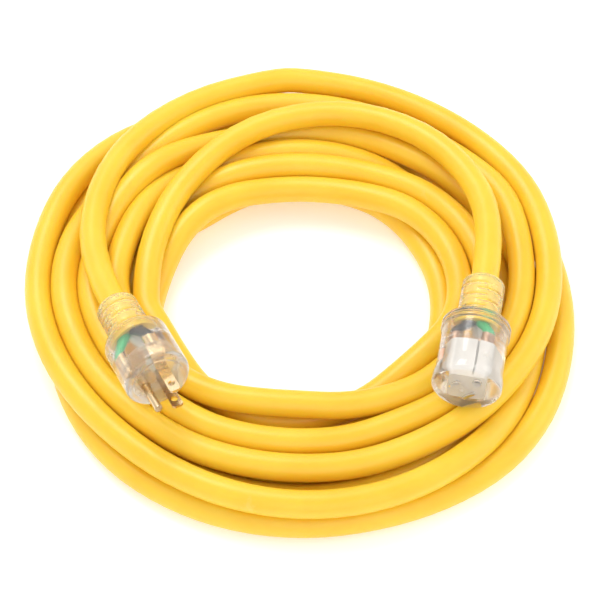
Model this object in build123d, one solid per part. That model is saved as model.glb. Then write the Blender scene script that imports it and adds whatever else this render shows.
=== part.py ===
from build123d import *
from math import atan2, cos, pi, radians, sin, tan
import os

# A coiled heavy-duty extension cord with clear moulded ends.
# Millimetres, +Z up. The origin is on the floor at the middle of the coil, +X runs towards the
# connector's side of the coil, and both ends point roughly along -Y.
# Each end is modelled in its own frame: +Z out of its face, the face at Z = 0, the earth contact at -Y,
# and is then placed on the coil.

# ---- the cord
CORD_D = 16.0                # jacket
CORE_D = 5.2                 # one insulated conductor
COPPER_D = 3.0               # its bare strands
CORE_PITCH_R = 3.15          # conductors' distance from the middle of the jacket
MIN_BEND_R = 5 * CORD_D      # the tightest bend such a stiff cord takes
CORNER_SHARE = 0.45          # share of the shorter run that a corner's arc takes up

# ---- the coil, as the closed solid of its outer shape
COIL_OUTER_R = 168.0
COIL_INNER_R = 77.0
COIL_HEIGHT = 29.0
COIL_EDGE_R = 7.5

# ---- both ends
HEAD_D = 38.5                # clear moulded head
RELIEF_D = 25.0              # ribbed strain relief
RELIEF_RIB_PITCH = 4.2
RELIEF_SLOT = 1.7            # width of a groove between two ribs
RELIEF_SLOT_DEPTH = 2.9
RELIEF_SLOT_ROWS = 5
RELIEF_SLOT_ARC = 118.0      # degrees that each of a row's two grooves spans
RELIEF_LIP = 5.0             # plain ring at the cord's end of the relief
RELIEF_SOCKET = 4.0          # how far the relief is let into the head
BARREL_D = 5.8               # crimp barrel
BARREL_L = 7.5

# ---- the standard three-pin pattern: two flat blades and a round earth pin
BLADE_PITCH = 12.7
BLADE_W = 6.35
BLADE_T = 1.5
BLADE_L = 17.8
BLADE_HOLE_D = 3.9
BLADE_HOLE_Z = 11.9
BLADE_TIP_CHAMFER = 1.2
EARTH_OFFSET = 11.9          # earth pin's axis from the line of the blades
EARTH_Y = -8.1               # earth pin's axis from the middle of the face
EARTH_D = 4.76
EARTH_L = 21.4
EARTH_ROOT_D = 5.6           # the thicker part of the pin inside the head
BLADE_Y = EARTH_Y + EARTH_OFFSET

# ---- plug
PLUG_HEAD_L = 37.5
PLUG_RELIEF_L = 28.0
PLUG_EDGE_R = 3.2            # rounding of the front rim
PLUG_SHOULDER_R = 4.5        # rounding of the back rim
PLUG_PLATFORM_D = 30.0       # slightly raised middle of the face
PLUG_PLATFORM_H = 0.8
BRIDGE_D = 27.0              # insert that holds the three pins apart
BRIDGE_T = 3.0
BRIDGE_Z = -12.0             # its front face
PLUG_BARREL_Z = -16.0        # front end of the crimp barrels
PLUG_JACKET_Z = -34.0        # where the jacket is cut back to
PLUG_FACE_AT = (-80.0, -87.0, 55.0)
PLUG_AXIS = (0.424, -0.888, 0.175)
PLUG_EARTH_TOWARDS = (-0.90, -0.43, 0.0)

# ---- connector
SOCKET_HEAD_L = 44.0
SOCKET_RELIEF_L = 31.0
SOCKET_WAIST_D = 38.0
SOCKET_FLANGE_D = 40.0       # the two rings at the back of the head
SOCKET_FLANGE_T = 2.4
SOCKET_GROOVE_T = 1.5
SOCKET_LIP_D = 40.0          # rim round the face
SOCKET_LIP_L = 6.0
SOCKET_EDGE_R = 2.4
CAP_T = 3.0                  # clear wall in front of the contact carrier
CARRIER_SIDE = 21.0          # contact carrier, a rounded square turned 45 degrees to the pins
CARRIER_CORNER_R = 3.0
CARRIER_REAR_Z = -25.0
CARRIER_SEAM_AT = 2.6        # the seam between the carrier's two blocks
CARRIER_SEAM_W = 1.0
CARRIER_SEAM_DEPTH = 2.0
CARRIER_FRONT_T = 4.0        # solid front wall of the carrier
SLOT_W = 2.0
LINE_SLOT_L = 7.0
NEUTRAL_SLOT_L = 8.4
EARTH_HOLE_R = 2.7
CONTACT_T = 0.8
CONTACT_GAP = 1.6
CONTACT_W = 5.6
CONTACT_POCKET_CLEAR = 0.5
SOCKET_JACKET_Z = -41.0
SOCKET_FACE_AT = (91.4, -88.8, 49.2)
SOCKET_AXIS = (-0.19, -0.98, 0.02)
SOCKET_EARTH_TOWARDS = (0.707, 0.0, 0.707)

# ---- indicator lamp in the connector, beside the carrier
LAMP_D = 4.2
LAMP_L = 9.0
RESISTOR_D = 3.0
RESISTOR_L = 7.0
LAMP_WIRE_D = 0.7
LAMP_OFFSET = 14.2           # from the axis of the head
LAMP_Z = -16.0

# ---- the two ends' own stretches of cord: straight out of the strain relief, then corners given as
#      (angle from +X in degrees, distance from the coil's axis, height); both finish inside the coil
EXIT_RUN = 39.0
CONNECTOR_ROUTE = (
    (33.0, 127.0, 42.5), (56.0, 135.5, 38.5), (80.0, 136.0, 35.5), (105.0, 126.5, 33.0),
    (131.0, 110.0, 30.0), (158.0, 99.0, 26.0), (186.0, 95.0, 20.0),
)
PLUG_ROUTE = ((156.0, 138.5, 33.0), (136.0, 151.0, 30.0), (116.0, 158.5, 25.0), (96.0, 158.0, 20.0))

BLADES = {"line": -BLADE_PITCH / 2, "neutral": BLADE_PITCH / 2}      # x of each blade of the plug
WIRE_COLOURS = {"line": "black", "neutral": "white", "earth": "green"}
SOLID_NAMES = []


def save(name, shape):
    """One node: its solids in one file of its own."""
    SOLID_NAMES.append(name)
    export_step(shape, f"parts/{name}.step")


def placed(face_at, axis, earth_towards):
    """Where an end lies: +Z along its axis, -Y as near as it can be to the earth pin's direction."""
    out = Vector(*axis).normalized()
    earth = Vector(*earth_towards)
    up = (earth - out * earth.dot(out)).normalized() * -1
    return Location(Plane(origin=face_at, x_dir=up.cross(out), z_dir=out))


def rod(diameter, low, high, x=0.0, y=0.0):
    """An upright cylinder between two heights."""
    return Pos(x, y, low) * Cylinder(
        diameter / 2, high - low, align=(Align.CENTER, Align.CENTER, Align.MIN)
    )


def block(size_x, size_y, low, high, x=0.0, y=0.0):
    """An upright box between two heights."""
    return Pos(x, y, low) * Box(
        size_x, size_y, high - low, align=(Align.CENTER, Align.CENTER, Align.MIN)
    )


def turned(profile):
    """A solid of revolution about Z from (radius, height) corners."""
    return revolve(make_face(Polyline(*[(r, 0, z) for r, z in profile], close=True)), Axis.Z)


def tube_along(points, diameter, radii):
    """A round bar along straight runs joined by tangent arcs."""
    path = FilletPolyline(*points, radius=radii)
    bar = sweep((path ^ 0) * Circle(diameter / 2), path=path)
    return bar, path.length


def corner_radii(name, points):
    """Each corner's arc, as large as its shorter run allows."""
    radii = []
    for before, here, after in zip(points, points[1:], points[2:]):
        first, second = here - before, after - here
        turn = radians(first.get_angle(second))
        radii.append(CORNER_SHARE * min(first.length, second.length) / tan(turn / 2))
        if radii[-1] < MIN_BEND_R:
            print(name, "tight corner", round(radii[-1]), "at", here)
    print(name, "radii", [round(r) for r in radii])
    print(name, "runs", [round((b - a).length) for a, b in zip(points, points[1:])])
    return radii


def route_points(place, relief_back, route):
    """The corners of an end's cord: from the back of its strain relief to a place inside the coil."""
    points = [(place * Pos(0, 0, z)).position for z in (relief_back, relief_back - EXIT_RUN)]
    for angle, radius, height in route:
        points.append(Vector(radius * cos(radians(angle)), radius * sin(radians(angle)), height))
    return points


def make_lead(name, place, relief_back, route):
    points = route_points(place, relief_back, route)
    print(name, "corners", [tuple(round(c, 1) for c in p) for p in points])
    bar, length = tube_along(points, CORD_D, corner_radii(name, points))
    by_length = pi * CORD_D**2 / 4 * length
    print(name, "length", round(length), "volume / (section x length)", round(bar.volume / by_length, 4))
    return bar


def make_relief(back, front):
    """Strain relief from back to front: rows of paired grooves, every other row a quarter turn on."""
    sleeve = rod(RELIEF_D, back, front + RELIEF_SOCKET)
    sleeve = fillet(sleeve.edges().group_by(Axis.Z)[0], 1.2)
    first_row = back + RELIEF_LIP + RELIEF_SLOT / 2
    for row in range(RELIEF_SLOT_ROWS):
        low = first_row + row * RELIEF_RIB_PITCH
        ring = rod(RELIEF_D + 2, low, low + RELIEF_SLOT)
        ring -= rod(RELIEF_D - 2 * RELIEF_SLOT_DEPTH, low, low + RELIEF_SLOT)
        for side in (0, 180):
            turn = side + 90 * (row % 2)
            wedge = Pos(0, 0, low) * Rot(0, 0, turn - RELIEF_SLOT_ARC / 2) * Cylinder(
                RELIEF_D, RELIEF_SLOT, arc_size=RELIEF_SLOT_ARC,
                align=(Align.NONE, Align.NONE, Align.MIN),
            )
            sleeve -= ring & wedge
    return sleeve


def make_jacket_end(back, front, cores):
    """The cut-back end of the jacket, with a hole for each conductor."""
    jacket = rod(CORD_D, back, front)
    for x, y in cores.values():
        jacket -= rod(CORE_D, back, front, x, y)
    return jacket


def core_places(contacts):
    """Where each conductor leaves the jacket: on the side that its contact is on."""
    angles = {name: atan2(y, x) for name, (x, y) in contacts.items()}
    earth = angles["earth"]
    side = 1 if sin(angles["line"] - earth) > 0 else -1
    spread = {"earth": 0.0, "line": side * radians(120), "neutral": -side * radians(120)}
    return {
        name: (CORE_PITCH_R * cos(earth + turn), CORE_PITCH_R * sin(earth + turn))
        for name, turn in spread.items()
    }


def make_core(start, back, jacket_front, end, barrel_back):
    """One insulated conductor: along the jacket, then splayed out to its crimp barrel."""
    (x0, y0), (x1, y1) = start, end
    points = [(x0, y0, back), (x0, y0, jacket_front + 1.5), (x1, y1, barrel_back - 1.5)]
    points.append((x1, y1, barrel_back))
    return tube_along([Vector(*p) for p in points], CORE_D, 2.9)[0]


def make_barrel(x, y, front):
    """A crimp barrel, open at the back for the bare strands."""
    barrel = rod(BARREL_D, front - BARREL_L, front, x, y)
    return barrel - rod(COPPER_D, front - BARREL_L, front - 1.5, x, y)


def make_copper(x, y, front):
    """The bare strands inside a barrel."""
    return rod(COPPER_D, front - BARREL_L, front - 1.5, x, y)


# ---- plug

def make_blade(x):
    blade = block(BLADE_T, BLADE_W, PLUG_BARREL_Z, BLADE_L, x, BLADE_Y)
    tips = blade.edges().group_by(Axis.Z)[-1].filter_by(Axis.X)
    blade = chamfer(tips, BLADE_TIP_CHAMFER)
    hole = Pos(x, BLADE_Y, BLADE_HOLE_Z) * Rot(0, 90, 0) * Cylinder(BLADE_HOLE_D / 2, 2 * BLADE_T)
    return blade - hole + make_barrel(x, BLADE_Y, PLUG_BARREL_Z)


def make_earth_pin():
    shank = rod(EARTH_D, 0, EARTH_L, 0, EARTH_Y)
    shank = fillet(shank.edges().group_by(Axis.Z)[-1], EARTH_D / 2 - 0.25)
    shank += rod(EARTH_ROOT_D, PLUG_BARREL_Z, PLUG_PLATFORM_H, 0, EARTH_Y)
    return shank + make_barrel(0, EARTH_Y, PLUG_BARREL_Z)


def make_plug_head(inner):
    head = rod(HEAD_D, -PLUG_HEAD_L, 0)
    head = fillet(head.edges().group_by(Axis.Z)[-1], PLUG_EDGE_R)
    head = fillet(head.edges().group_by(Axis.Z)[0], PLUG_SHOULDER_R)
    head += rod(PLUG_PLATFORM_D, -1, PLUG_PLATFORM_H)
    for piece in inner:
        head -= piece
    return head


def make_plug():
    """Every piece of the plug in its own frame, by node name."""
    back = -PLUG_HEAD_L - PLUG_RELIEF_L
    contacts = {"line": (BLADES["line"], BLADE_Y), "neutral": (BLADES["neutral"], BLADE_Y)}
    contacts["earth"] = (0.0, EARTH_Y)
    cores = core_places(contacts)
    pieces = {f"plug_blade_{name}": make_blade(x) for name, x in BLADES.items()}
    pieces["plug_earth_pin"] = make_earth_pin()
    bridge = rod(BRIDGE_D, BRIDGE_Z - BRIDGE_T, BRIDGE_Z)
    for pin in list(pieces.values()):
        bridge -= pin
    pieces["plug_bridge"] = bridge
    for name, (x, y) in contacts.items():
        barrel_back = PLUG_BARREL_Z - BARREL_L
        pieces[f"plug_wire_{WIRE_COLOURS[name]}"] = make_core(
            cores[name], back, PLUG_JACKET_Z, (x, y), barrel_back
        )
        pieces[f"plug_copper_{name}"] = make_copper(x, y, PLUG_BARREL_Z)
    pieces["plug_jacket_end"] = make_jacket_end(back, PLUG_JACKET_Z, cores)
    relief = make_relief(back, -PLUG_HEAD_L)
    head = make_plug_head([relief, *pieces.values()])
    pieces["plug_strain_relief"] = relief - rod(CORD_D, back, -PLUG_HEAD_L + RELIEF_SOCKET)
    pieces["plug_body"] = head
    return pieces


# ---- connector

def make_blade_contact(x):
    """Two leaves that grip a blade, on a crimp barrel."""
    front = -CAP_T - CARRIER_FRONT_T
    outer = CONTACT_GAP + 2 * CONTACT_T
    contact = block(outer, CONTACT_W, CARRIER_REAR_Z, front - 0.5, x, BLADE_Y)
    contact -= block(CONTACT_GAP, CONTACT_W, CARRIER_REAR_Z + 3, front, x, BLADE_Y)
    return contact + make_barrel(x, BLADE_Y, CARRIER_REAR_Z)


def make_earth_contact():
    """A split sleeve that grips the earth pin, on a crimp barrel."""
    front = -CAP_T - CARRIER_FRONT_T
    bore = 2 * EARTH_HOLE_R + 0.1
    sleeve = rod(bore + 2 * CONTACT_T, CARRIER_REAR_Z, front - 0.5, 0, EARTH_Y)
    sleeve -= rod(bore, CARRIER_REAR_Z + 2, front, 0, EARTH_Y)
    sleeve -= block(1.2, 5, CARRIER_REAR_Z + 4, front, 0, EARTH_Y + 3)
    return sleeve + make_barrel(0, EARTH_Y, CARRIER_REAR_Z)


def face_openings(low, high):
    """The two slots and the round earth hole, between two heights."""
    holes = block(SLOT_W, LINE_SLOT_L, low, high, -BLADES["line"], BLADE_Y)
    holes += block(SLOT_W, NEUTRAL_SLOT_L, low, high, -BLADES["neutral"], BLADE_Y)
    return holes + rod(2 * EARTH_HOLE_R, low, high, 0, EARTH_Y)


def make_carrier(contacts):
    """White block that holds the three contacts, turned so that its seam is on the top side."""
    carrier = block(CARRIER_SIDE, CARRIER_SIDE, CARRIER_REAR_Z, -CAP_T)
    carrier = fillet(carrier.edges().filter_by(Axis.Z), CARRIER_CORNER_R)
    seam_y = CARRIER_SIDE / 2 - CARRIER_SEAM_DEPTH / 2
    carrier -= block(
        CARRIER_SEAM_W, CARRIER_SEAM_DEPTH, CARRIER_REAR_Z, -CAP_T - CARRIER_FRONT_T,
        CARRIER_SEAM_AT, seam_y,
    )
    carrier = Rot(0, 0, 225) * carrier
    pocket_front = -CAP_T - CARRIER_FRONT_T
    clear = 2 * CONTACT_POCKET_CLEAR
    for x in BLADES.values():
        width = CONTACT_GAP + 2 * CONTACT_T + clear
        carrier -= block(width, NEUTRAL_SLOT_L, CARRIER_REAR_Z + 1, pocket_front, x, BLADE_Y)
    bore = 2 * EARTH_HOLE_R + 0.1 + 2 * CONTACT_T
    carrier -= rod(bore, CARRIER_REAR_Z, pocket_front, 0, EARTH_Y)
    carrier -= face_openings(pocket_front, -CAP_T)
    for contact in contacts:
        carrier -= contact
    return carrier


def make_socket_head(inner):
    back = -SOCKET_HEAD_L
    flange, waist, lip = (d / 2 for d in (SOCKET_FLANGE_D, SOCKET_WAIST_D, SOCKET_LIP_D))
    z1 = back + SOCKET_FLANGE_T
    z2 = z1 + SOCKET_GROOVE_T
    z3 = z2 + SOCKET_FLANGE_T
    head = turned((
        (0, back), (flange, back), (flange, z1), (waist - 0.6, z1), (waist - 0.6, z2),
        (flange, z2), (flange, z3), (waist, z3), (waist, -2 * SOCKET_LIP_L),
        (lip, -SOCKET_LIP_L), (lip, 0), (0, 0),
    ))
    head = fillet(head.edges().group_by(Axis.Z)[-1], SOCKET_EDGE_R)
    head = fillet(head.edges().group_by(Axis.Z)[0], 1.0)
    for piece in inner:
        head -= piece
    return head - face_openings(-CAP_T, 0)


def make_lamp():
    """Neon lamp and its series resistor, both along the head, and the wires between them."""
    side = Rot(0, 0, 45) * Pos(LAMP_OFFSET, 0, 0)
    lamp = side * Pos(0, -4.5, LAMP_Z) * Cylinder(LAMP_D / 2, LAMP_L)
    lamp = fillet(lamp.edges(), 1.2)
    resistor = side * Pos(0, 4.0, LAMP_Z) * Cylinder(RESISTOR_D / 2, RESISTOR_L)
    resistor = fillet(resistor.edges(), 0.6)
    wires = []
    for y, half, towards in ((-4.5, LAMP_L / 2, -1), (4.0, RESISTOR_L / 2, 1)):
        tail = LAMP_Z - half
        points = [(0, y, tail), (0, y, -27.0), (-5.2, y + towards * 1.0, -29.5)]
        wires.append(side * tube_along([Vector(*p) for p in points], LAMP_WIRE_D, 1.0)[0])
    front = LAMP_Z + LAMP_L / 2
    loop = [(0, -4.5, front), (0, -4.5, front + 3), (0, 4.0, front + 3), (0, 4.0, LAMP_Z + RESISTOR_L / 2)]
    wires.append(side * tube_along([Vector(*p) for p in loop], LAMP_WIRE_D, 1.2)[0])
    return {"lamp_bulb": lamp, "lamp_resistor": resistor, "lamp_wires": Compound(wires)}


def make_connector():
    """Every piece of the connector in its own frame, by node name."""
    back = -SOCKET_HEAD_L - SOCKET_RELIEF_L
    contacts = {name: (-x, BLADE_Y) for name, x in BLADES.items()}
    contacts["earth"] = (0.0, EARTH_Y)
    cores = core_places(contacts)
    pieces = {f"connector_contact_{n}": make_blade_contact(-x) for n, x in BLADES.items()}
    pieces["connector_contact_earth"] = make_earth_contact()
    pieces["connector_carrier"] = make_carrier(list(pieces.values()))
    for name, (x, y) in contacts.items():
        pieces[f"connector_wire_{WIRE_COLOURS[name]}"] = make_core(
            cores[name], back, SOCKET_JACKET_Z, (x, y), CARRIER_REAR_Z - BARREL_L
        )
        pieces[f"connector_copper_{name}"] = make_copper(x, y, CARRIER_REAR_Z)
    pieces["connector_jacket_end"] = make_jacket_end(back, SOCKET_JACKET_Z, cores)
    pieces.update(make_lamp())
    relief = make_relief(back, -SOCKET_HEAD_L)
    filled_carrier = Rot(0, 0, 135) * block(CARRIER_SIDE, CARRIER_SIDE, CARRIER_REAR_Z, -CAP_T)
    filled_carrier = fillet(filled_carrier.edges().filter_by(Axis.Z), CARRIER_CORNER_R)
    head = make_socket_head([relief, filled_carrier, *pieces.values()])
    pieces["connector_strain_relief"] = relief - rod(CORD_D, back, -SOCKET_HEAD_L + RELIEF_SOCKET)
    pieces["connector_body"] = head
    return pieces


# ---- the whole cord

def make_coil(hollows):
    """The coil's outer shape: a ring with rounded edges, hollowed where something lies in its top."""
    mid = (COIL_OUTER_R + COIL_INNER_R) / 2
    profile = Plane.XZ * Pos(mid, COIL_HEIGHT / 2) * RectangleRounded(
        COIL_OUTER_R - COIL_INNER_R, COIL_HEIGHT, COIL_EDGE_R
    )
    coil = revolve(profile, Axis.Z)
    for hollow in hollows:
        coil -= hollow
    return coil


os.makedirs("parts", exist_ok=True)

plug_place = placed(PLUG_FACE_AT, PLUG_AXIS, PLUG_EARTH_TOWARDS)
socket_place = placed(SOCKET_FACE_AT, SOCKET_AXIS, SOCKET_EARTH_TOWARDS)
plug_lead = make_lead("plug_lead", plug_place, -PLUG_HEAD_L - PLUG_RELIEF_L, PLUG_ROUTE)
connector_lead = make_lead(
    "connector_lead", socket_place, -SOCKET_HEAD_L - SOCKET_RELIEF_L, CONNECTOR_ROUTE
)
heads = [plug_place * rod(HEAD_D, -PLUG_HEAD_L, 0)]
heads.append(socket_place * rod(SOCKET_FLANGE_D, -SOCKET_HEAD_L, 0))
save("cord_coil", make_coil([plug_lead, connector_lead, *heads]))
save("plug_lead", plug_lead)
save("connector_lead", connector_lead)
for place, pieces in ((plug_place, make_plug()), (socket_place, make_connector())):
    for name, piece in pieces.items():
        save(name, place * piece)
print(len(SOLID_NAMES), "nodes")
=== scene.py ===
from math import cos, pi, radians, sin

import bpy
import numpy as np
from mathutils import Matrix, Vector


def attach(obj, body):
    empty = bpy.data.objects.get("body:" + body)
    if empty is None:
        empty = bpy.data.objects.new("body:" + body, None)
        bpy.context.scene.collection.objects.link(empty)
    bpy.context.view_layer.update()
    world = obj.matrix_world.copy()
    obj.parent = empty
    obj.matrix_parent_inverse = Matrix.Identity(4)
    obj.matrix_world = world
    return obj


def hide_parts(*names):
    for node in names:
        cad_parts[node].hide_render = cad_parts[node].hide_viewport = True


# A coiled yellow extension cord with a clear plug and a clear connector, laid on a pale floor.
# Tables are in millimetres and degrees and are turned into metres by MM. Places round the coil are
# (angle from +X, distance from the coil's axis, height).

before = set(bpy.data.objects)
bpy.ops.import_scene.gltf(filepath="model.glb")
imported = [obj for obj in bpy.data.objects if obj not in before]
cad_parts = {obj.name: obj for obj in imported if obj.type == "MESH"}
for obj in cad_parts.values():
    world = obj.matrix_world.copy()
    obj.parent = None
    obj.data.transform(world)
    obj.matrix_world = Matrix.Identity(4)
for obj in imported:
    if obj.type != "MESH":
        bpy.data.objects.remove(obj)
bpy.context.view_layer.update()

MM = 0.001
CORD_D = 16.0

# ---- the two clear ends: the face's place, its outward axis, and which way its earth contact lies
SOCKET_FACE = (91.4, -88.8, 49.2)
SOCKET_AXIS = (-0.19, -0.98, 0.02)
SOCKET_EARTH = (0.707, 0.0, 0.707)
SOCKET_HEAD_L = 44.0
SOCKET_RELIEF_L = 31.0
SOCKET_R = 20.0
PLUG_FACE = (-80.0, -87.0, 55.0)
PLUG_AXIS = (0.424, -0.888, 0.175)
PLUG_EARTH = (-0.90, -0.43, 0.0)
PLUG_HEAD_L = 37.5
PLUG_RELIEF_L = 28.0
HEAD_R = 19.25
RELIEF_R = 12.5
SKIN_GAP = 0.1             # air between a head and its strain relief
OPENINGS = (               # in the connector's face: x, y, half width, half height, corners
    (6.35, 3.8, 1.0, 3.5, 4), (-6.35, 3.8, 1.0, 4.2, 4), (0.0, -8.1, 2.7, 2.7, 40),
)
OPENING_DEPTH = 2.7

# ---- the cord's own route where it isn't coiled: straight out of each strain relief, then round
CONNECTOR_LEAD = (
    (105.7, -15.2, 47.7), (113.1, 23.1, 46.9), (106.5, 69.2, 42.5), (75.8, 112.3, 38.5),
    (23.6, 133.9, 35.5), (-32.7, 122.2, 33.0), (-72.2, 83.0, 30.0), (-91.8, 37.1, 26.0),
    (-94.5, -9.9, 22.0),
)
PLUG_LEAD = (
    (-107.8, -28.8, 43.5), (-124.3, 5.8, 36.7), (-128.8, 57.3, 33.5), (-111.5, 108.0, 31.0),
    (-71.5, 147.0, 28.5), (-20.0, 166.5, 26.5),
)

# ---- the coil, a row a turn from the connector's side on: where each strand runs before it settles
TURNS = (
    ((205, 89, 18), (225, 87, 12), (270, 84, 8), (290, 80, 10), (305, 81, 15), (322, 84.5, 19),
     (335, 89, 20.5)),
    ((0, 97, 20), (90, 81, 22), (120, 86, 22), (145, 90, 20), (180, 94, 8), (270, 103, 8),
     (295, 96.5, 8)),
    ((0, 85, 8), (45, 89, 8), (90, 93, 8), (180, 110, 8), (270, 120.5, 8)),
    ((0, 101, 8), (45, 109, 13), (65, 112, 20), (90, 111, 22), (180, 109, 22), (225, 94, 22),
     (238, 89, 22), (270, 82, 22), (290, 87, 22.5), (305, 94, 23), (330, 104, 23)),
    ((0, 110, 23), (45, 104, 24), (90, 97, 21), (180, 126, 8), (270, 136.5, 9)),
    ((0, 121.5, 8), (45, 126, 8), (90, 141, 8), (110, 146, 8), (125, 150, 8), (140, 154, 8),
     (160, 152, 8), (180, 149, 8), (225, 151, 8), (270, 149.5, 8), (300, 153, 8), (330, 156.5, 8)),
    ((0, 155, 8), (90, 158, 8), (110, 161, 10), (125, 165, 15), (140, 165, 18), (160, 161, 19),
     (180, 152, 20.5), (225, 146.5, 21), (270, 149, 22.5), (295, 150, 22), (315, 149, 18),
     (330, 144.5, 12), (345, 141, 8)),
    ((0, 138.5, 8), (45, 126, 20), (90, 126, 22), (180, 124, 21), (270, 105.5, 21),
     (295, 107.5, 21)),
    ((0, 131.5, 22), (45, 142, 22), (90, 149, 22), (135, 147, 22), (180, 139.5, 22),
     (270, 123, 22), (300, 127, 23), (320, 131, 25), (340, 138, 25)),
    ((0, 147.5, 22), (25, 156, 22), (45, 160, 23), (64, 164, 24), (80, 166, 25.5)),
)
STEP = 5                   # degrees between two samples of a strand while it settles
KEEP_EVERY = 3             # every third sample becomes a control point: 24 a turn
SETTLE_ROUNDS = 600
STRAND_GAP = 0.25          # air that two strands keep between them
PULL_BACK = 0.03           # share of its drift that a strand regains in a round
SINK = 0.06                # how far a strand drops in a round
FREE_WITHIN = 30           # degrees from a lead over which a strand gets its freedom to move
JOIN_CLEAR = 6             # degrees between a lead's last corner and the first turn's control point


# ---------------------------------------------------------------- the cord's route

def to_polar(points):
    """(angle, distance, height) of points, with angle = atan2(y, x), distance = hypot(x, y)."""
    p = np.asarray(points, float)
    return np.stack([np.degrees(np.arctan2(p[:, 1], p[:, 0])), np.hypot(p[:, 0], p[:, 1]), p[:, 2]], 1)


def from_polar(stations):
    """Points (distance cos angle, distance sin angle, height)."""
    a, r, z = np.asarray(stations, float).T
    return np.stack([r * np.cos(np.radians(a)), r * np.sin(np.radians(a)), z], 1)


def flowing(x, y, at):
    """Cubic through stations y at x: h00 y0 + h10 h m0 + h01 y1 + h11 h m1, with central slopes m."""
    slope = np.gradient(y, x, axis=0)
    i = np.clip(np.searchsorted(x, at) - 1, 0, len(x) - 2)
    h = (x[i + 1] - x[i])[:, None]
    t = (at - x[i])[:, None] / h
    rise = (2 * t**3 - 3 * t**2 + 1) * y[i] + (3 * t**2 - 2 * t**3) * y[i + 1]
    return rise + (t**3 - 2 * t**2 + t) * h * slope[i] + (t**3 - t**2) * h * slope[i + 1]


def along_end(face, axis, near, far):
    """Points on an end's axis, from near to far millimetres behind its face."""
    back = np.array(face) - np.linspace(near, far, 9)[:, None] * np.array(axis) / np.linalg.norm(axis)
    return to_polar(back)


def strand_stations():
    """The whole line from the connector's face to the plug's, as (angle, distance, height, held)."""
    last = 360 * len(TURNS)
    first = along_end(SOCKET_FACE, SOCKET_AXIS, 0, SOCKET_HEAD_L + SOCKET_RELIEF_L)
    lead_in = to_polar(CONNECTOR_LEAD[1:])
    lead_in[:, 0] %= 360
    turns = [(360 * k + a, r, z) for k, row in enumerate(TURNS) for a, r, z in row]
    lead_out = to_polar(PLUG_LEAD[:0:-1])
    lead_out[:, 0] += last - 360
    end = along_end(PLUG_FACE, PLUG_AXIS, PLUG_HEAD_L + PLUG_RELIEF_L, 0)
    end[:, 0] = end[:, 0] % 360 + last - 360
    parts = (first, lead_in, np.array(turns), lead_out, end)
    held = np.concatenate([np.full(len(p), p is not parts[2], float) for p in parts])
    return np.concatenate(parts), held


def settle(angle, place, thick, free):
    """Lets the strands lie on one another. At each angle the strands' sections are discs; overlapping
    discs push apart along the line between their middles, each strand is drawn back towards where it
    started and sinks a little, and every move is blurred along the strand. Each place then goes half
    the way to the cubic through its four neighbours, so that the strand stays smooth."""
    column = np.round(angle % 360 / STEP).astype(int) % (360 // STEP)
    row = np.floor(angle / 360).astype(int) + 1
    start = place.copy()
    rows = row.max() + 1
    widths = np.zeros((360 // STEP, rows))
    widths[column, row] = thick
    wanted = widths[:, :, None] + widths[:, None, :] + STRAND_GAP
    for _ in range(SETTLE_ROUNDS):
        grid = np.full((360 // STEP, rows, 2), np.nan)
        grid[column, row] = place
        apart = grid[:, :, None] - grid[:, None, :]
        distance = np.sqrt((apart**2).sum(-1))
        distance[:, range(rows), range(rows)] = np.nan
        squeeze = np.clip(wanted - distance, 0, None) / distance
        move = 0.5 * np.nansum(apart * squeeze[..., None], axis=2)[column, row]
        move += (start - place) * PULL_BACK
        move[:, 1] -= SINK
        move[1:-1] = (move[:-2] + 2 * move[1:-1] + move[2:]) / 4
        place = place + move * free[:, None]
        bend = np.zeros_like(place)
        bend[2:-2] = (-place[:-4] + 4 * place[1:-3] + 4 * place[3:-1] - place[4:]) / 6 - place[2:-2]
        place = place + bend * free[:, None] / 2
        place[:, 1] = np.where(free > 0, np.maximum(place[:, 1], CORD_D / 2), place[:, 1])
    return place


def cord_points():
    """Control points of the free cord: the connector's lead, the settled turns, the plug's lead."""
    stations, held = strand_stations()
    angle = np.arange(np.ceil(stations[0, 0] / STEP) * STEP, stations[-1, 0], STEP)
    place = flowing(stations[:, 0], stations[:, 1:], angle)
    last = 360 * (len(TURNS) - 1)
    loose = np.flatnonzero(held == 0)
    lead_in_end, lead_out_start = stations[loose[0] - 1, 0], stations[loose[-1] + 1, 0]
    exit_in, exit_out = to_polar([CONNECTOR_LEAD[0], PLUG_LEAD[0]])[:, 0] + (0, last + 360)
    neck_in = along_end(SOCKET_FACE, SOCKET_AXIS, SOCKET_HEAD_L, SOCKET_HEAD_L)[0, 0]
    neck_out = along_end(PLUG_FACE, PLUG_AXIS, PLUG_HEAD_L, PLUG_HEAD_L)[0, 0] + last + 360
    thick = np.full(len(angle), CORD_D / 2)
    thick[(angle < exit_in) | (angle > exit_out)] = RELIEF_R
    thick[(angle < neck_in) | (angle > neck_out)] = SOCKET_R
    freed = np.clip((angle - lead_in_end) / FREE_WITHIN, 0, 1)
    free = freed * np.clip((lead_out_start - angle) / FREE_WITHIN, 0, 1)
    place = settle(angle, place, thick, free)
    kept = angle % (KEEP_EVERY * STEP) == 0
    coiled = kept & (angle > lead_in_end + JOIN_CLEAR) & (angle < lead_out_start - JOIN_CLEAR)
    turns = np.column_stack([angle, place])[coiled]
    # a control polygon of 15 degree steps is cut inside by its curve, so it stands that much out
    turns[:, 1] /= cos(radians(KEEP_EVERY * STEP / 2))
    return np.concatenate([CONNECTOR_LEAD, from_polar(turns), PLUG_LEAD[::-1]]) * MM


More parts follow.
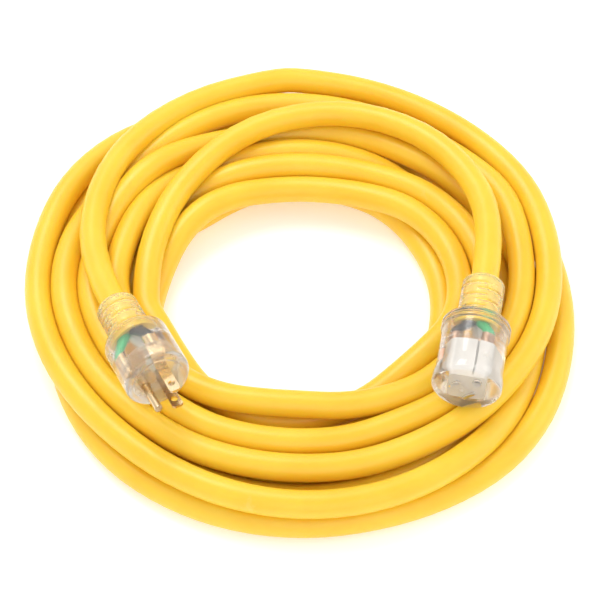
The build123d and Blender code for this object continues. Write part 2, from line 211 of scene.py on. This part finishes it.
def make_cord():
    """The free cord: one open spline with a round section, its ends closed."""
    points = cord_points()
    curve = bpy.data.curves.new("cord", "CURVE")
    curve.dimensions = "3D"
    curve.bevel_depth = CORD_D / 2 * MM
    curve.bevel_resolution = 8
    curve.use_fill_caps = True
    spline = curve.splines.new("NURBS")
    spline.points.add(len(points) - 1)
    spline.points.foreach_set("co", np.column_stack([points, np.ones(len(points))]).ravel())
    spline.order_u = 3
    spline.use_endpoint_u = True
    spline.resolution_u = 4
    cord = bpy.data.objects.new("cord", curve)
    bpy.context.scene.collection.objects.link(cord)
    return cord


# ---------------------------------------------------------------- turned and ribbed surfaces

def rounded(corners, steps=8):
    """A profile from (radius, height, rounding) corners. A rounded corner is the circle arc that is
    tangent to both its sides: it starts and ends at rounding times tan(half the turn) from the corner."""
    out = []
    for k, (r, z, fillet) in enumerate(corners):
        here = np.array((r, z))
        if not fillet:
            out.append(here[None])
            continue
        before = np.array(corners[k - 1][:2]) - here
        after = np.array(corners[k + 1][:2]) - here
        before, after = before / np.linalg.norm(before), after / np.linalg.norm(after)
        half = np.arccos(np.clip(before @ after, -1, 1)) / 2
        middle = here + (before + after) / np.linalg.norm(before + after) * fillet / np.sin(half)
        first = here + before * fillet / np.tan(half) - middle
        second = here + after * fillet / np.tan(half) - middle
        sweep = pi - 2 * half
        t = np.linspace(0, 1, steps + 1)[:, None]
        arc = (np.sin((1 - t) * sweep) * first + np.sin(t * sweep) * second) / np.sin(sweep)
        out.append(middle + arc)
    return np.concatenate(out)


def end_axes(axis, earth):
    """Rows x, y, z of an end's own frame: z along its axis, the earth contact towards -y."""
    out = np.array(axis) / np.linalg.norm(axis)
    down = np.array(earth) - out * (np.array(earth) @ out)
    up = -down / np.linalg.norm(down)
    return np.stack([np.cross(up, out), up, out])


def closed_skin(name, rings, face, axes):
    """A closed mesh from rings[m, n, 3] in an end's own frame, in millimetres. Ring i joins ring i + 1
    by quads, and the first and last ring close on a pole at their middle."""
    m, n = rings.shape[:2]
    poles = rings[[0, -1]].mean(1)
    local = np.concatenate([rings.reshape(-1, 3), poles])
    world = (np.array(face) + local @ axes) * MM
    i, j = np.meshgrid(np.arange(m - 1), np.arange(n), indexing="ij")
    k = (j + 1) % n
    quads = np.stack([i * n + j, i * n + k, (i + 1) * n + k, (i + 1) * n + j], -1).reshape(-1, 4)
    around = np.arange(n)
    following = (around + 1) % n
    low = np.stack([np.full(n, m * n), following, around], 1)
    high = np.stack([np.full(n, m * n + 1), (m - 1) * n + around, (m - 1) * n + following], 1)
    mesh = bpy.data.meshes.new(name)
    mesh.from_pydata(world.tolist(), [], quads.tolist() + low.tolist() + high.tolist())
    mesh.polygons.foreach_set("use_smooth", np.ones(len(mesh.polygons), bool))
    mesh.update()
    piece = bpy.data.objects.new(name, mesh)
    bpy.context.scene.collection.objects.link(piece)
    return piece


def turned_rings(profile, around=96):
    """Rings (r cos f, r sin f, z) of a profile carried once round the axis."""
    f = np.linspace(0, 2 * pi, around, endpoint=False)
    r, z = profile[:, 0, None], profile[:, 1, None]
    return np.stack([r * np.cos(f), r * np.sin(f), z + 0 * f], -1)


def sharpened(piece):
    """Keeps edges that turn by more than 40 degrees crisp under smooth shading."""
    piece.data.set_sharp_from_angle(angle=radians(40))
    return piece


def plug_head_profile():
    """Half section of the plug's clear head, from the middle of its back to the middle of its face."""
    platform_r, platform_h = 15.0, 0.8
    return rounded((
        (0.05, -PLUG_HEAD_L, 0), (HEAD_R, -PLUG_HEAD_L, 4.5), (HEAD_R, 0, 3.2),
        (platform_r, 0, 0.3), (platform_r, platform_h, 0.4), (0.05, platform_h, 0),
    ))


def connector_head_profile():
    """Half section of the connector's clear head: two flanges at the back, a waist, a flared lip."""
    back, flange, waist, groove = -SOCKET_HEAD_L, SOCKET_R, 19.0, 18.4
    return rounded((
        (0.05, back, 0), (flange, back, 1.0), (flange, back + 2.4, 0.7), (groove, back + 2.4, 0.3),
        (groove, back + 3.9, 0.3), (flange, back + 3.9, 0.7), (flange, back + 6.3, 0.9),
        (waist, back + 6.3, 0.5), (waist, -12.0, 4.0), (SOCKET_R, -6.0, 3.0), (SOCKET_R, 0, 2.4),
        (0.05, 0, 0),
    ))


def relief_rings(length, back):
    """Rings of a strain relief: radius less depth times (groove across the row) times (groove along
    the ring). Each row has two grooves, and every other row is a quarter turn on."""
    lip, slot, pitch, rows, depth, ease = 5.0, 1.7, 4.2, 5, 2.9, 0.22
    groove_arc, groove_fade = 118, 5
    body = rounded(((0.05, 0, 0), (RELIEF_R, 0, 1.6), (RELIEF_R, length - SKIN_GAP, 0.4),
                    (0.05, length - SKIN_GAP, 0)))
    starts = lip + slot / 2 + pitch * np.arange(rows)
    edges = np.array([-ease, 0, ease / 2, ease, slot / 2, slot - ease, slot - ease / 2, slot, slot + ease])
    heights = (starts[:, None] + edges).ravel()
    at_slots = np.stack([np.full(len(heights), RELIEF_R), heights], 1)
    split = np.flatnonzero(body[:, 1] > heights[0])[0]
    profile = np.concatenate([body[:split], at_slots, body[split:]])
    half = np.radians(groove_arc / 2)
    soft = np.radians(groove_fade)
    ends = np.concatenate([[c - half, c + half] for c in np.arange(4) * pi / 2])
    even = np.linspace(0, 2 * pi, 120, endpoint=False)
    at_ends = (ends[:, None] + soft * np.linspace(-1, 1, 5)).ravel()
    f = np.unique(np.round(np.concatenate([even, at_ends]) % (2 * pi), 4))
    r, z = profile[:, 0, None], profile[:, 1, None]
    cut = 0
    for row, start in enumerate(starts):
        inside = np.clip(np.minimum(z - start, start + slot - z) / ease, 0, 1)
        turn = f - row % 2 * pi / 2
        off = np.abs((turn + pi / 2) % pi - pi / 2)
        along = np.clip((half - off) / soft + 0.5, 0, 1)
        cut = cut + inside * along * along * (3 - 2 * along)
    r = np.where(z > lip / 2, r - depth * cut * (r > RELIEF_R - 0.01), r)
    return np.stack([r * np.cos(f), r * np.sin(f), z + back + 0 * f], -1)


def make_relief(name, length, head_length, face, axes):
    """One end's ribbed strain relief, from its own back to the back of the head."""
    return sharpened(closed_skin(name, relief_rings(length, -head_length - length), face, axes))


def cut_openings(head, axes):
    """Two blade slots and a round earth hole through the connector's clear front wall."""
    for x, y, half_x, half_y, corners in OPENINGS:
        f = 2 * pi * (np.arange(corners) + 0.5) / corners
        swell = 1 / max(abs(cos(f[0])), abs(sin(f[0]))) if corners == 4 else 1
        flat = np.stack([x + half_x * swell * np.cos(f), y + half_y * swell * np.sin(f)], 1)
        ends = (-OPENING_DEPTH, 1.0)
        rings = np.stack([np.column_stack([flat, np.full(corners, z)]) for z in ends])
        cutter = closed_skin("opening_cutter", rings, SOCKET_FACE, axes)
        cut = head.modifiers.new("opening", "BOOLEAN")
        cut.operation = "DIFFERENCE"
        cut.solver = "EXACT"
        cut.object = cutter
        bpy.context.view_layer.update()
        graph = bpy.context.evaluated_depsgraph_get()
        mesh = bpy.data.meshes.new_from_object(head.evaluated_get(graph))
        head.modifiers.clear()
        head.data = mesh
        bpy.data.objects.remove(cutter)
    return head


# ---------------------------------------------------------------- effects shared by the finishes

def effect(name, inputs, outputs):
    """A shader node group with named number or vector sockets; returns it with its two ends."""
    group = bpy.data.node_groups.new(name, "ShaderNodeTree")
    for label, value in inputs:
        kind = "NodeSocketVector" if value is None else "NodeSocketFloat"
        socket = group.interface.new_socket(label, in_out="INPUT", socket_type=kind)
        if value is not None:
            socket.default_value = value
    for label in outputs:
        group.interface.new_socket(label, in_out="OUTPUT", socket_type="NodeSocketFloat")
    return group, group.nodes.new("NodeGroupInput").outputs, group.nodes.new("NodeGroupOutput").inputs


def join(tree, source, target):
    tree.links.new(source, target)


def noise(tree, vector, scale, detail, rough=0.5):
    node = tree.nodes.new("ShaderNodeTexNoise")
    node.inputs["Detail"].default_value = detail
    node.inputs["Roughness"].default_value = rough
    join(tree, vector, node.inputs["Vector"])
    join(tree, scale, node.inputs["Scale"])
    return node.outputs["Fac"]


def spread(tree, value, low, high, to_low, to_high):
    """Map Range from low..high to to_low..to_high; each of the four may be a socket."""
    node = tree.nodes.new("ShaderNodeMapRange")
    join(tree, value, node.inputs["Value"])
    for label, bound in (("From Min", low), ("From Max", high), ("To Min", to_low), ("To Max", to_high)):
        if isinstance(bound, (int, float)):
            node.inputs[label].default_value = bound
        else:
            join(tree, bound, node.inputs[label])
    return node.outputs["Result"]


def make_mottle():
    """Slow unevenness: noise spread between Low and High."""
    group, given, result = effect(
        "mottle", (("Vector", None), ("Scale", 60.0), ("Low", 0.0), ("High", 1.0)), ("Value",))
    cloud = noise(group, given["Vector"], given["Scale"], 3)
    join(group, spread(group, cloud, 0.3, 0.7, given["Low"], given["High"]), result["Value"])
    return group


def make_grain():
    """Fine moulding grain, as a height."""
    group, given, result = effect("fine_grain", (("Vector", None), ("Scale", 900.0)), ("Height",))
    join(group, noise(group, given["Vector"], given["Scale"], 2, 0.6), result["Height"])
    return group


def make_rubs():
    """Rubbed patches and specks: high noise passed by a threshold, as a mask."""
    group, given, result = effect(
        "rubs", (("Vector", None), ("Scale", 80.0), ("Threshold", 0.6)), ("Mask",))
    patches = noise(group, given["Vector"], given["Scale"], 6, 0.7)
    edge = group.nodes.new("ShaderNodeMath")
    edge.operation = "ADD"
    edge.inputs[1].default_value = 0.08
    join(group, given["Threshold"], edge.inputs[0])
    mask = spread(group, patches, given["Threshold"], edge.outputs[0], 0, 1)
    join(group, mask, result["Mask"])
    return group


MOTTLE, GRAIN, RUBS = make_mottle(), make_grain(), make_rubs()


# ---------------------------------------------------------------- finishes

def start_finish(name, **sockets):
    """A material with one Principled shader whose plain values are set on its own sockets."""
    finish = bpy.data.materials.new("finish_" + name)
    finish.use_nodes = True
    shader = finish.node_tree.nodes["Principled BSDF"]
    for label, value in sockets.items():
        shader.inputs[label.replace("_", " ")].default_value = value
    return finish, finish.node_tree, shader


def use_effect(tree, group, vector, **values):
    node = tree.nodes.new("ShaderNodeGroup")
    node.node_tree = group
    join(tree, vector, node.inputs["Vector"])
    for label, value in values.items():
        node.inputs[label].default_value = value
    return node.outputs[0]


def object_place(tree):
    return tree.nodes.new("ShaderNodeTexCoord").outputs["Object"]


def mix_colours(tree, factor, first, second):
    """Mix node's colour sockets by their place: the colour A, B and Result are the typed ones."""
    node = tree.nodes.new("ShaderNodeMix")
    node.data_type = "RGBA"
    factor_in = [s for s in node.inputs if s.name == "Factor" and s.type == "VALUE"][0]
    sides = [s for s in node.inputs if s.type == "RGBA"]
    join(tree, factor, factor_in)
    for side, colour in zip(sides, (first, second)):
        if isinstance(colour, tuple):
            side.default_value = (*colour, 1)
        else:
            join(tree, colour, side)
    return [s for s in node.outputs if s.type == "RGBA"][0]


def add_bump(tree, shader, height, strength, distance):
    bump = tree.nodes.new("ShaderNodeBump")
    bump.inputs["Strength"].default_value = strength
    bump.inputs["Distance"].default_value = distance
    join(tree, height, bump.inputs["Height"])
    join(tree, bump.outputs["Normal"], shader.inputs["Normal"])


def plastic(name, colour, deep, rough, grain=1100.0, bump=0.00003, mottle=90.0, **sockets):
    """Moulded plastic: colour drifting towards a deeper one, uneven gloss and a fine grain."""
    finish, tree, shader = start_finish(name, **sockets)
    place = object_place(tree)
    drift = use_effect(tree, MOTTLE, place, Scale=mottle)
    join(tree, mix_colours(tree, drift, colour, deep), shader.inputs["Base Color"])
    gloss = use_effect(tree, MOTTLE, place, Scale=mottle * 3, Low=rough - 0.05, High=rough + 0.07)
    join(tree, gloss, shader.inputs["Roughness"])
    add_bump(tree, shader, use_effect(tree, GRAIN, place, Scale=grain), 0.35, bump)
    return finish


def metal(name, colour, dull, rough):
    """Drawn or stamped metal: tarnish in patches, with gloss that follows it."""
    finish, tree, shader = start_finish(name, Metallic=1.0)
    place = object_place(tree)
    tarnish = use_effect(tree, RUBS, place, Scale=160.0, Threshold=0.5)
    join(tree, mix_colours(tree, tarnish, colour, dull), shader.inputs["Base Color"])
    join(tree, spread(tree, tarnish, 0, 1, rough, rough + 0.14), shader.inputs["Roughness"])
    add_bump(tree, shader, use_effect(tree, GRAIN, place, Scale=2200.0), 0.3, 0.00002)
    return finish


def clear(name, tint, rough, lamp_tint, clearness, ior=1.5, ripple=0.00004):
    """Clear flexible moulding, milky within and glossy on top: lets lamps through to what it holds."""
    finish, tree, shader = start_finish(
        name, Transmission_Weight=clearness, IOR=ior, Coat_Weight=0.4, Coat_Roughness=0.04)
    place = object_place(tree)
    haze = use_effect(tree, MOTTLE, place, Scale=70.0)
    deeper = tuple(c * 0.97 for c in tint)
    join(tree, mix_colours(tree, haze, tint, deeper), shader.inputs["Base Color"])
    gloss = use_effect(tree, MOTTLE, place, Scale=160.0, Low=rough * 0.6, High=rough * 1.4)
    join(tree, gloss, shader.inputs["Roughness"])
    add_bump(tree, shader, use_effect(tree, GRAIN, place, Scale=120.0), 0.3, ripple)
    path = tree.nodes.new("ShaderNodeLightPath")
    through = tree.nodes.new("ShaderNodeBsdfTransparent")
    through.inputs["Color"].default_value = (*lamp_tint, 1)
    mix = tree.nodes.new("ShaderNodeMixShader")
    join(tree, path.outputs["Is Shadow Ray"], mix.inputs[0])
    join(tree, shader.outputs[0], mix.inputs[1])
    join(tree, through.outputs[0], mix.inputs[2])
    join(tree, mix.outputs[0], tree.nodes["Material Output"].inputs["Surface"])
    return finish


def jacket():
    """Yellow cord jacket: even yellow, drifting to orange, a fine grain and rub marks."""
    finish, tree, shader = start_finish(
        "cord_jacket", IOR=1.5, Subsurface_Weight=0.45, Subsurface_Scale=0.006)
    shader.inputs["Subsurface Radius"].default_value = (1.0, 0.55, 0.08)
    place = object_place(tree)
    drift = use_effect(tree, MOTTLE, place, Scale=26.0)
    even = mix_colours(tree, drift, (0.91, 0.61, 0.045), (0.89, 0.545, 0.028))
    marks = use_effect(tree, RUBS, place, Scale=55.0, Threshold=0.66)
    join(tree, mix_colours(tree, marks, even, (0.90, 0.60, 0.08)), shader.inputs["Base Color"])
    gloss = use_effect(tree, MOTTLE, place, Scale=60.0, Low=0.33, High=0.42)
    join(tree, gloss, shader.inputs["Roughness"])
    add_bump(tree, shader, use_effect(tree, GRAIN, place, Scale=700.0), 0.25, 0.00004)
    return finish


def make_finishes():
    """One finish for each material slot of the record."""
    return {
        "cord_jacket": jacket(),
        "clear_moulding": clear("clear_moulding", (1.0, 0.955, 0.90), 0.20, (1.0, 0.97, 0.92), 0.93),
        "clear_relief": clear("clear_relief", (1.0, 0.98, 0.88), 0.22, (0.99, 0.97, 0.90), 0.86, 1.26),
        "clear_insert": plastic("clear_insert", (0.80, 0.76, 0.68), (0.72, 0.66, 0.56), 0.35, Alpha=0.18),
        "white_carrier": plastic("white_carrier", (0.74, 0.74, 0.73), (0.66, 0.66, 0.65), 0.35),
        "brass_pins": metal("brass_pins", (0.74, 0.57, 0.35), (0.48, 0.33, 0.18), 0.20),
        "brass_contacts": metal("brass_contacts", (0.52, 0.37, 0.28), (0.36, 0.23, 0.16), 0.42),
        "copper_strands": metal("copper_strands", (0.85, 0.42, 0.22), (0.50, 0.22, 0.12), 0.32),
        "black_insulation": plastic("black_insulation", (0.02, 0.02, 0.022), (0.035, 0.035, 0.04), 0.4),
        "white_insulation": plastic("white_insulation", (0.82, 0.81, 0.78), (0.74, 0.73, 0.69), 0.4),
        "green_insulation": plastic("green_insulation", (0.06, 0.52, 0.21), (0.04, 0.43, 0.17), 0.4),
        "lamp_glass": plastic("lamp_glass", (0.85, 0.45, 0.25), (0.75, 0.35, 0.18), 0.1),
        "resistor_coating": plastic("resistor_coating", (0.38, 0.16, 0.06), (0.28, 0.11, 0.04), 0.35),
        "tinned_wire": metal("tinned_wire", (0.80, 0.80, 0.80), (0.55, 0.54, 0.52), 0.25),
    }


def dress(piece, slot, finishes):
    """Gives a new piece its finish and hangs it under the root body."""
    piece.data.materials.clear()
    piece.data.materials.append(finishes[slot])
    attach(piece, "root")


# ---------------------------------------------------------------- the stage

def make_floor():
    mesh = bpy.data.meshes.new("floor")
    mesh.from_pydata([(-4, -4, 0), (4, -4, 0), (4, 4, 0), (-4, 4, 0)], [], [(0, 1, 2, 3)])
    floor = bpy.data.objects.new("floor", mesh)
    bpy.context.scene.collection.objects.link(floor)
    finish, _, shader = start_finish(
        "floor", Base_Color=(0.94, 0.94, 0.94, 1), Roughness=0.9, Emission_Strength=0.22)
    shader.inputs["Specular IOR Level"].default_value = 0.1
    mesh.materials.append(finish)


def make_light(name, at, size, power):
    """A square soft box that faces the coil."""
    lamp = bpy.data.lights.new(name, "AREA")
    lamp.size = size
    lamp.energy = power
    light = bpy.data.objects.new(name, lamp)
    light.location = at
    light.rotation_euler = (-Vector(at)).to_track_quat("-Z", "Y").to_euler()
    bpy.context.scene.collection.objects.link(light)


def make_stage():
    make_floor()
    make_light("key_softbox", (-0.5, 0.75, 1.5), 0.9, 13.0)
    make_light("front_fill", (0.3, -1.6, 1.2), 1.6, 6.5)
    make_light("right_fill", (1.5, 0.2, 0.8), 1.0, 4.0)
    world = bpy.data.worlds.new("studio")
    world.use_nodes = True
    world.node_tree.nodes["Background"].inputs["Color"].default_value = (1, 1, 1, 1)
    world.node_tree.nodes["Background"].inputs["Strength"].default_value = 0.85
    bpy.context.scene.world = world
    bpy.context.scene.view_settings.view_transform = "Standard"


def make_camera():
    """Looks down at the coil's middle from the front, 54 degrees above the floor."""
    rise, distance = radians(54), 1.13
    camera = bpy.data.objects.new("camera", bpy.data.cameras.new("camera"))
    camera.location = (0, -distance * cos(rise), distance * sin(rise))
    camera.rotation_euler = (pi / 2 - rise, 0, 0)
    camera.data.sensor_width = 36
    camera.data.lens = 109.3
    camera.data.shift_x = 0.0057
    camera.data.shift_y = 0.0098
    bpy.context.scene.collection.objects.link(camera)
    bpy.context.scene.camera = camera


# ---------------------------------------------------------------- putting it together

def main():
    finishes = make_finishes()
    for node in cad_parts.values():
        for slot in node.material_slots:
            slot.material = finishes[slot.material.name]

    socket_axes = end_axes(SOCKET_AXIS, SOCKET_EARTH)
    plug_axes = end_axes(PLUG_AXIS, PLUG_EARTH)

    plug_head = closed_skin("plug_clear_head", turned_rings(plug_head_profile()), PLUG_FACE, plug_axes)
    dress(sharpened(plug_head), "clear_moulding", finishes)
    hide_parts("plug_body")

    plug_relief = make_relief("plug_ribbed_relief", PLUG_RELIEF_L, PLUG_HEAD_L, PLUG_FACE, plug_axes)
    dress(plug_relief, "clear_relief", finishes)
    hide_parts("plug_strain_relief")

    rings = turned_rings(connector_head_profile())
    socket_head = closed_skin("connector_clear_head", rings, SOCKET_FACE, socket_axes)
    cut_openings(socket_head, socket_axes)
    dress(sharpened(socket_head), "clear_moulding", finishes)
    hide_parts("connector_body")

    socket_relief = make_relief(
        "connector_ribbed_relief", SOCKET_RELIEF_L, SOCKET_HEAD_L, SOCKET_FACE, socket_axes)
    dress(socket_relief, "clear_relief", finishes)
    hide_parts("connector_strain_relief")

    cord = make_cord()
    dress(cord, "cord_jacket", finishes)
    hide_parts("cord_coil", "plug_lead", "connector_lead")

    make_stage()
    make_camera()


main()
